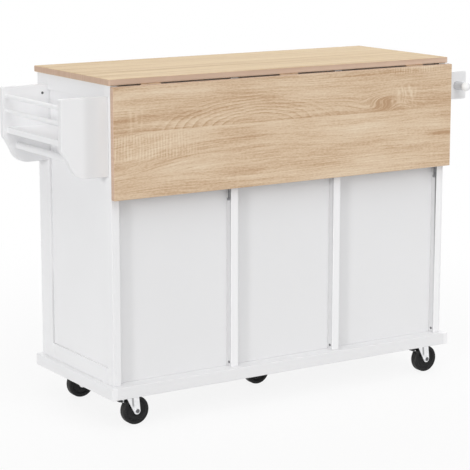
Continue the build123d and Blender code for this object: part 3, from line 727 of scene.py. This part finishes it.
# %% Black levers
black_plastic = Finish("black_plastic", Specular_IOR_Level=0.45)
spark_grain = black_plastic.noise(black_plastic.place, scale=1500.0)
black_plastic.set("Base Color", black_plastic.mix(spark_grain, srgb(24, 24, 25), srgb(40, 40, 41)))
black_plastic.set("Roughness", 0.45 + spark_grain * 0.2)
black_plastic.bump(spark_grain, distance=0.00008, strength=0.5)
black_plastic.cover("rear_rack_brake_lever", "rear_towel_brake_lever")

# %% [markdown]
# ## Screws and bolts from one Geometry Nodes tree
# A cabinet holds dozens of the same screw. Copying objects by hand would work, but a Geometry Nodes
# tree is built once and places a head on every point it is given. Each point carries the way it faces.
# The tree makes a cylinder, lowers its rim to a dome, cuts a cross into it, and turns each copy by its
# own random angle from a fixed seed. With six sides and no cross the same tree gives hexagon nuts.

# %% The inputs of the tree, and the head with its dome
fasteners = bpy.data.node_groups.new("fastener", "GeometryNodeTree")
fastener_inputs = {"Points": "Geometry", "Radius": "Float", "Height": "Float", "Dome": "Float",
                   "Sides": "Int", "Cross": "Bool", "Material": "Material"}
for label, kind in fastener_inputs.items():
    fasteners.interface.new_socket(label, in_out="INPUT", socket_type="NodeSocket" + kind)
fasteners.interface.new_socket("Geometry", in_out="OUTPUT", socket_type="NodeSocketGeometry")
web = Nodes(fasteners)
web.node("NodeGroupInput")
points, radius, height, dome, sides, cross, material = web.outputs(len(fastener_inputs))

sizes = {"Vertices": sides, "Side Segments": 1, "Fill Segments": 4, "Radius": radius, "Depth": height}
blank = web.node("GeometryNodeMeshCylinder", {"fill_type": "TRIANGLE_FAN"}, sizes, "Mesh")
half_height = height * 0.5
lift = web.point(0.0, 0.0, half_height)
blank = web.node("GeometryNodeTransform", None, {"Geometry": blank, "Translation": lift})
x, y, z = web.split(web.node("GeometryNodeInputPosition"))
fall = (x * x + y * y) / (radius * radius) * dome * -1
on_top = z.math("GREATER_THAN", half_height)
lowered = {"Geometry": blank, "Selection": on_top, "Offset": web.point(0.0, 0.0, fall)}
head = web.node("GeometryNodeSetPosition", None, lowered)
print("inputs of the tree:", ", ".join(fastener_inputs))

# %% The cross recess
bar_length, bar_width, bar_depth = radius * 1.15, radius * 0.26, height * 1.2
at_top = web.point(0.0, 0.0, height)
bars = []
for bar_size in (web.point(bar_length, bar_width, bar_depth), web.point(bar_width, bar_length, bar_depth)):
    bar = web.node("GeometryNodeMeshCube", None, {"Size": bar_size}, "Mesh")
    bars.append(web.node("GeometryNodeTransform", None, {"Geometry": bar, "Translation": at_top}))
cut = {"Mesh 1": head, "Mesh 2": bars, "Self Intersection": True}
slotted = web.node("GeometryNodeMeshBoolean", {"operation": "DIFFERENCE", "solver": "EXACT"}, cut)
choice = {"Switch": cross, "False": head, "True": slotted}
head = web.node("GeometryNodeSwitch", {"input_type": "GEOMETRY"}, choice)
print("bars that cut the cross:", len(bars))

# %% A head on every point, turned at random
spin_seed = 7
facing = web.node("GeometryNodeInputNamedAttribute", {"data_type": "FLOAT_VECTOR"}, {"Name": "facing"})
aim = web.node("FunctionNodeAlignRotationToVector", {"axis": "Z"}, {"Vector": facing})
half_turn = {"Max_001": pi, "Seed": spin_seed}
spin = web.node("FunctionNodeRandomValue", {"data_type": "FLOAT"}, half_turn, "Value_001")
spin = web.node("FunctionNodeAxisAngleToRotation", None, {"Axis": (0.0, 0.0, 1.0), "Angle": spin})
turn = {"Rotation": aim, "Rotate By": spin}
aim = web.node("FunctionNodeRotateRotation", {"rotation_space": "LOCAL"}, turn)
heads = {"Points": points, "Instance": head, "Rotation": aim}
copies = web.node("GeometryNodeInstanceOnPoints", None, heads)
plain = web.node("GeometryNodeRealizeInstances", None, {"Geometry": copies})
done = web.node("GeometryNodeSetMaterial", None, {"Geometry": plain, "Material": material})
web.node("NodeGroupOutput", None, {"Geometry": done})
print("fastener tree:", len(fasteners.nodes), "nodes")

# %% Turn points into one plain mesh of heads
def place_fasteners(name, body, slot, finish, points, radius, height, dome, sides=18, cross=True):
    """points are pairs of a place on a surface and the way that the head faces."""
    mesh = bpy.data.meshes.new(name)
    mesh.from_pydata([place for place, facing in points], [], [])
    facings = mesh.attributes.new("facing", "FLOAT_VECTOR", "POINT")
    for item, (place, facing) in zip(facings.data, points):
        item.vector = facing
    holder = bpy.data.objects.new(name, mesh)
    bpy.context.scene.collection.objects.link(holder)
    modifier = holder.modifiers.new("fasteners", "NODES")
    modifier.node_group = fasteners
    values = {"Radius": radius, "Height": height, "Dome": dome, "Sides": sides, "Cross": cross,
              "Material": finish.material}
    for item in fasteners.interface.items_tree:
        if item.in_out == "INPUT" and item.name in values:
            modifier[item.identifier] = values[item.name]
    seen = holder.evaluated_get(bpy.context.evaluated_depsgraph_get())
    result = bpy.data.meshes.new_from_object(seen)
    holder.modifiers.remove(modifier)
    holder.data = result
    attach(holder, body)
    print(name, len(points), "heads,", len(result.polygons), "faces on", body)
    return holder


pan_head = {"radius": 0.0035, "height": 0.0012, "dome": 0.0005}
flat_head = {"radius": 0.0026, "height": 0.00025, "dome": 0.00005}
axle_nut = {"radius": 0.0048, "height": 0.0016, "dome": 0.0004, "sides": 6, "cross": False}
plate_bolt = {"radius": 0.0042, "height": 0.0022, "dome": 0.0008}
print("pan heads are", pan_head["radius"] * 2000, "mm wide")

# %% [markdown]
# ## Which screw goes where
# Small dark pan heads show on the inner sides of the rack's cheeks and low in each recess. Hinges,
# props and their catches take flat heads in yellow zinc, which stand only a little proud so that
# nothing rubs. Under the base each caster plate has four bolts, and each axle ends in a nut on either
# side.

# %% Dark screws of the cabinet
dark_screw = Finish("dark_screw", Metallic=1.0)
worn = dark_screw.noise(dark_screw.place, scale=500.0)
dark_screw.set("Base Color", dark_screw.mix(worn, srgb(88, 88, 90), srgb(128, 128, 130)))
dark_screw.set("Roughness", 0.34 + worn * 0.2)
dark_screw.cover("screw_heads")

cheek_thickness, cheek_screw_inset = 0.018, 0.016
cheek_screw_drop, cheek_screw_rise = 0.022, 0.016
recess_screw_inset, recess_screw_rise = 0.011, 0.012
cabinet_points = []
for z in (rack_high.z - cheek_screw_drop, rack_low.z + cheek_screw_rise):
    x = rack_low.x + cheek_screw_inset
    cabinet_points.append(((x, rack_low.y + cheek_thickness, z), (0, 1, 0)))
    cabinet_points.append(((x, rack_high.y - cheek_thickness, z), (0, -1, 0)))
recess_uprights = ("towel_end_board", "towel_side_divider", "rack_side_divider")
recess_x = [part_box(name)[1].x for name in recess_uprights]
for x in recess_x:
    place = (x, rear_y - recess_screw_inset, base_high.z + recess_screw_rise)
    cabinet_points.append((place, (1, 0, 0)))
cabinet_screws = place_fasteners("cabinet_screws", "island", "dark_screw", dark_screw,
                                 cabinet_points, **pan_head)
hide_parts("screw_heads")

# %% Screw places on the three leaf hinges
hinge_length, hinge_plate = 0.058, 0.0015
hinge_screw_gap, hinge_screw_inset = 0.019, 0.009
hinge_low, hinge_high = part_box("leaf_hinge_top_halves")
leaf_plate_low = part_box("leaf_hinge_leaf_halves")[0]
middle_x = (hinge_low.x + hinge_high.x) / 2
spread = (hinge_high.x - hinge_low.x - hinge_length) / 2
top_screw_y, top_screw_z = hinge_low.y + hinge_screw_inset, top_low.z - hinge_plate
leaf_screw_y, leaf_screw_z = leaf_low.y - hinge_plate, leaf_plate_low.z + hinge_screw_inset
under_points, leaf_points = [], []
for hinge_x in (middle_x - spread, middle_x, middle_x + spread):
    for x in (hinge_x - hinge_screw_gap, hinge_x, hinge_x + hinge_screw_gap):
        under_points.append(((x, top_screw_y, top_screw_z), (0, 0, -1)))
        leaf_points.append(((x, leaf_screw_y, leaf_screw_z), (0, -1, 0)))
print("hinge screws:", len(under_points) + len(leaf_points))

# %% Screw places on the props' plates and catches
prop_plate, prop_screw_inset, prop_screw_gap = 0.0015, 0.0045, 0.016
catch_middle, catch_screw_inset = 0.0178, 0.006
wall_low, wall_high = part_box("prop_wall_plates")
catch_low, catch_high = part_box("prop_catches")
prop_z = (wall_low.z + wall_high.z) / 2
for recess in (recess_x[0], recess_x[2]):
    for z in (prop_z - prop_screw_gap, prop_z + prop_screw_gap):
        under_points.append(((recess + prop_plate, wall_low.y + prop_screw_inset, z), (1, 0, 0)))
    for z in (catch_low.z + catch_screw_inset, catch_high.z - catch_screw_inset):
        leaf_points.append(((recess + catch_middle, catch_low.y, z), (0, -1, 0)))
place_fasteners("hinge_screws_island", "island", "zinc_steel", yellow_zinc, under_points, **flat_head)
place_fasteners("hinge_screws_leaf", "leaf", "zinc_steel", yellow_zinc, leaf_points, **flat_head)

# %% Caster bolts and axle nuts
caster_trail, caster_plate, bolt_gap = 0.030, 0.0025, 0.023
plate_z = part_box("caster_plates")[1].z - caster_plate
bolt_points = []
for place in caster_places:
    low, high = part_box(f"{place}_fork")
    hub = middle_of(f"{place}_wheel")
    for x in (hub.x + caster_trail - bolt_gap, hub.x + caster_trail + bolt_gap):
        for y in (hub.y - bolt_gap, hub.y + bolt_gap):
            bolt_points.append(((x, y, plate_z), (0, 0, -1)))
    nut_points = [((hub.x, low.y, hub.z), (0, -1, 0)), ((hub.x, high.y, hub.z), (0, 1, 0))]
    place_fasteners(f"{place}_axle_nuts", f"{place}_caster", "zinc_steel", dark_screw,
                    nut_points, **axle_nut)
place_fasteners("caster_bolts", "island", "zinc_steel", zinc_steel, bolt_points, **plate_bolt)

# %% [markdown]
# ## The studio
# The photograph has a plain white ground and soft light from all round. Suns light the whole floor
# evenly: a wide one from above and behind, one from the room at the back, one for the front, and a
# narrow one from the rack's end, which casts the uprights' shadows on the back panels. The world fills
# what is left. For the camera, and in reflections, the ground is white; what it sheds as light is set
# apart from that with Light Path.

# %% World
scene = bpy.context.scene
scene.view_settings.view_transform = "Standard"
white = (1.0, 1.0, 1.0, 1.0)


def seen_directly(web):
    """1 for rays from the camera, in a reflection or through glass, and 0 for light that is shed."""
    web.node("ShaderNodeLightPath")
    kinds = ("Is Camera Ray", "Is Glossy Ray", "Is Transmission Ray")
    rays = [Value(web, web.find(web.last.outputs, kind)) for kind in kinds]
    return (rays[0] + rays[1] + rays[2]).math("MINIMUM", 1.0)


fill_light = 0.40
studio = bpy.data.worlds.new("studio")
scene.world = studio
studio.use_nodes = True
studio.node_tree.nodes.clear()
sky_web = Nodes(studio.node_tree)
sky_strength = fill_light + seen_directly(sky_web) * (1 - fill_light)
sky = sky_web.node("ShaderNodeBackground", None, {"Color": white, "Strength": sky_strength})
sky_web.node("ShaderNodeOutputWorld", None, {"Surface": sky})
print("fill light", fill_light)

# %% Suns
def sun(name, towards, strength, width):
    lamp = bpy.data.lights.new(name, "SUN")
    lamp.energy = strength
    lamp.angle = radians(width)
    holder = bpy.data.objects.new(name, lamp)
    holder.rotation_euler = Vector(towards).to_track_quat("Z", "Y").to_euler()
    scene.collection.objects.link(holder)
    print(name, "strength", strength, "width", width)


sun("key_sun", (0.10, 0.52, 0.85), 1.13, 55)
sun("room_sun", (0.20, 0.95, 0.22), 0.35, 45)
sun("side_sun", (0.90, 0.385, 0.20), 0.80, 10)
sun("front_sun", (-0.45, -0.80, 0.25), 0.95, 60)

# %% [markdown]
# The floor is a wide disc. A plain matt floor would look grey beside the white world, so it glows for
# the camera and only a share of it is matt, which keeps the island's soft shadow. Further out the glow
# takes over.

# %% Floor
floor_radius, glow_near, glow_fade = 9.0, 0.86, (0.6, 2.2)
floor_mesh = bpy.data.meshes.new("floor")
bm = bmesh.new()
bmesh.ops.create_circle(bm, cap_ends=True, segments=96, radius=floor_radius)
bm.to_mesh(floor_mesh)
bm.free()
floor = bpy.data.objects.new("floor", floor_mesh)
scene.collection.objects.link(floor)

pale = bpy.data.materials.new("pale_floor")
pale.use_nodes = True
pale.node_tree.nodes.clear()
floor_web = Nodes(pale.node_tree)
floor_place = floor_web.node("ShaderNodeTexCoord", None, None, "Object")
away = floor_web.node("ShaderNodeVectorMath", {"operation": "LENGTH"}, {0: floor_place}, "Value")
matt = floor_web.node("ShaderNodeBsdfDiffuse", None, {"Color": (0.9, 0.9, 0.9, 1.0)})
glow = floor_web.node("ShaderNodeEmission", None, {"Color": white, "Strength": 1.0})
glow_share = seen_directly(floor_web) * (glow_near + (1 - glow_near) * floor_web.step(away, *glow_fade))
blend = floor_web.node("ShaderNodeMixShader", None, {0: glow_share, 1: matt, 2: glow})
floor_web.node("ShaderNodeOutputMaterial", None, {"Surface": blend})
floor.data.materials.append(pale)
floor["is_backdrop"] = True
print("floor radius", floor_radius, "m")

# %% [markdown]
# ## The camera
# Its place, aim and lens come from the corners of the worktop, the leaf and the base in the photograph:
# with a long lens from far back, the uprights stay nearly parallel and the far end is only a little
# smaller.

# %% Camera
camera_place = (2.6668, 4.1277, 1.4056)
yaw, pitch = -2.14117484, -0.195271557
photo_width, focal_pixels, sensor_width = 470, 1802.98, 36.0
aim = Vector((cos(pitch) * cos(yaw), cos(pitch) * sin(yaw), sin(pitch)))
eye = bpy.data.cameras.new("photo_camera")
eye.sensor_width = sensor_width
eye.lens = focal_pixels / photo_width * sensor_width
eye.clip_end = 60.0
camera = bpy.data.objects.new("photo_camera", eye)
camera.location = camera_place
camera.rotation_euler = aim.to_track_quat("-Z", "Y").to_euler()
scene.collection.objects.link(camera)
scene.camera = camera
print("lens", round(eye.lens, 2), "mm")

# %% [markdown]
# ## Sizes, and the end
# The dressed island must not outgrow the CAD model. Both boxes are printed.

# %% Finish
sizes = {"cad": [list(corner) for corner in cad_box], "visual": [list(corner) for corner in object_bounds()]}
print(sizes)
